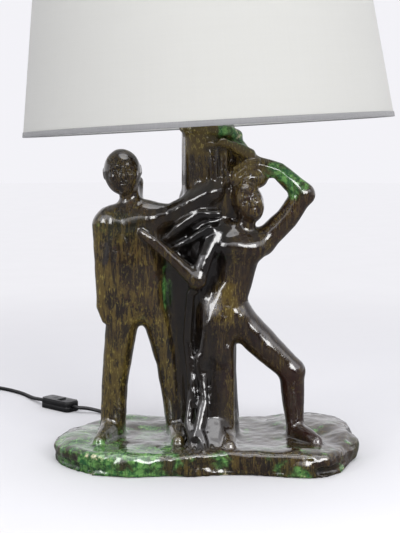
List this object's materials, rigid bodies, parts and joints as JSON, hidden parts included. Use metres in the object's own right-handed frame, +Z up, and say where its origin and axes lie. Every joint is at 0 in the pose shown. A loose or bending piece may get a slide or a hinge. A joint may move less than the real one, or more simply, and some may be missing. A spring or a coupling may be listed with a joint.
{
  "type": "figural table lamp",
  "caption": "Glazed ceramic table lamp: a man and a woman beside a hollow tree trunk on a rocky plinth, with a lampholder, a bulb, a cone shade, and a flex with an inline switch.",
  "frame": {"origin": "on the table, under the centre of the shade's lower ring", "axes": "+Z up; +X to the viewer's right as the figures face the viewer; +Y to the back, where the flex leaves"},
  "size_m": [0.7212, 0.6859, 0.8215],
  "materials": {
    "glaze": "very glossy dark brown, olive and copper-green lead glaze",
    "zinc": "zinc-plated steel",
    "brass": "plain brass",
    "bakelite": "black thermoset",
    "porcelain": "unglazed white porcelain",
    "clear_glass": "clear",
    "shade_fabric": "off-white fabric laminated on a plastic sheet",
    "hem_fabric": "grey edge binding",
    "white_wire": "white enamelled steel wire",
    "rubber": "black flexible PVC",
    "black_plastic": "moulded black plastic",
    "filament": "coated filament",
    "blue_core": "blue insulation",
    "brown_core": "brown insulation"
  },
  "bodies": {
    "root": {"ceramic_sculpture": "glaze", "threaded_nipple": "zinc", "inner_washer": "zinc", "inner_nut": "zinc", "top_washer": "brass", "top_nut": "brass", "holder_cap": "bakelite", "holder_sleeve": "bakelite", "holder_core": "porcelain", "holder_screw_shell": "brass", "holder_centre_contact": "brass", "terminal_screw_left": "brass", "terminal_screw_right": "brass", "core_wire_brown": "brown_core", "core_wire_blue": "blue_core", "shade_seat_ring": "bakelite", "flex_inside": "rubber", "cable_grommet": "rubber", "flex_to_switch": "rubber", "switch_base": "black_plastic", "switch_cover": "black_plastic", "switch_pin": "zinc", "switch_contact_front": "brass", "switch_contact_back": "brass", "switch_core": "blue_core", "flex_to_coil": "rubber", "flex_coil": "rubber", "flex_to_plug": "rubber", "plug_body": "black_plastic", "plug_pin_left": "zinc", "plug_pin_right": "zinc"},
    "shade": {"shade_cover": "shade_fabric", "shade_hem_bottom": "hem_fabric", "shade_hem_top": "hem_fabric", "shade_ring_bottom": "white_wire", "shade_ring_top": "white_wire", "shade_hub": "white_wire", "shade_strut_1": "white_wire", "shade_strut_2": "white_wire", "shade_strut_3": "white_wire", "shade_strut_4": "white_wire", "shade_strut_5": "white_wire", "shade_strut_6": "white_wire", "shade_arm_1": "white_wire", "shade_arm_2": "white_wire", "shade_arm_3": "white_wire"},
    "clamp_ring": {"shade_clamp_ring": "bakelite"},
    "bulb": {"bulb_glass": "clear_glass", "bulb_cap": "zinc", "bulb_cap_insulator": "bakelite", "bulb_contact": "zinc", "bulb_stem": "clear_glass", "bulb_filament": "filament"},
    "rocker": {"switch_rocker": "black_plastic", "switch_bridge": "brass"}
  },
  "joints": [
    {"name": "shade_swivel", "type": "hinge", "parent": "root", "child": "shade", "pos_m": [0, 0, 0.463], "axis": [-0.0576, 0, 0.9983], "continuous": true},
    {"name": "clamp_ring_turn", "type": "hinge", "parent": "root", "child": "clamp_ring", "pos_m": [0, 0, 0.463], "axis": [-0.0576, 0, 0.9983], "range_deg": [0, 1080]},
    {"name": "bulb_turn", "type": "hinge", "parent": "root", "child": "bulb", "pos_m": [0, 0, 0.463], "axis": [-0.0576, 0, 0.9983], "range_deg": [0, 900]},
    {"name": "rocker_tilt", "type": "hinge", "parent": "root", "child": "rocker", "pos_m": [-0.2425, 0.27, 0.013], "axis": [0.6334, 0.7738, 0], "range_deg": [0, 16]}
  ]
}
